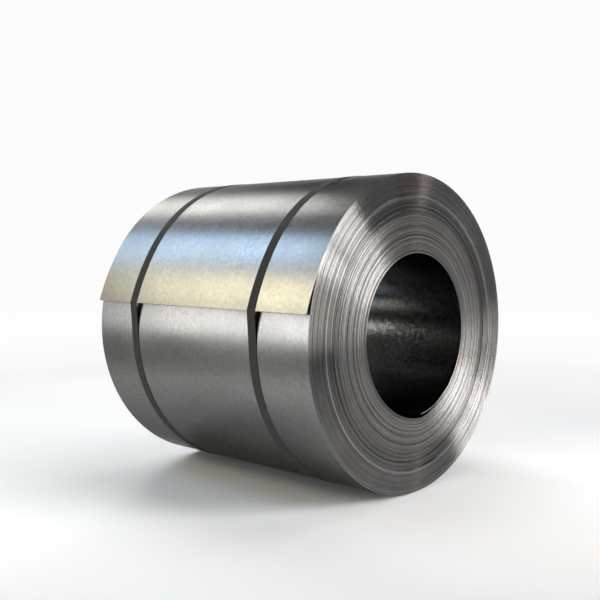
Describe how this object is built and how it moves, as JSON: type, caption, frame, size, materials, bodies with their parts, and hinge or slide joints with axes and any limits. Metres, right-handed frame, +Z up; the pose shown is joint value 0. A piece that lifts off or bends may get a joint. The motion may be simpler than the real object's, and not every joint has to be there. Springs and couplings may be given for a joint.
{
  "type": "steel coil",
  "caption": "Coil of flat steel strip wound round an open bore, lying on its side and held by dark steel straps with crimped seals; its sprung outer end makes a step along the front.",
  "frame": {"origin": "on the floor, below the middle of the coil's axis", "axes": "+X along the coil's axis towards the end that faces the camera, +Z up, and the strip's sprung outer end on the -Y side"},
  "size_m": [0.965, 1.0057, 1.0009],
  "materials": {
    "strip_steel": "satin, bare cold rolled strip",
    "strap_steel": "dark satin"
  },
  "bodies": {
    "root": {"coil": "strip_steel", "strap_far": "strap_steel", "strap_near": "strap_steel", "seal_far": "strap_steel", "seal_near": "strap_steel"}
  },
  "joints": []
}
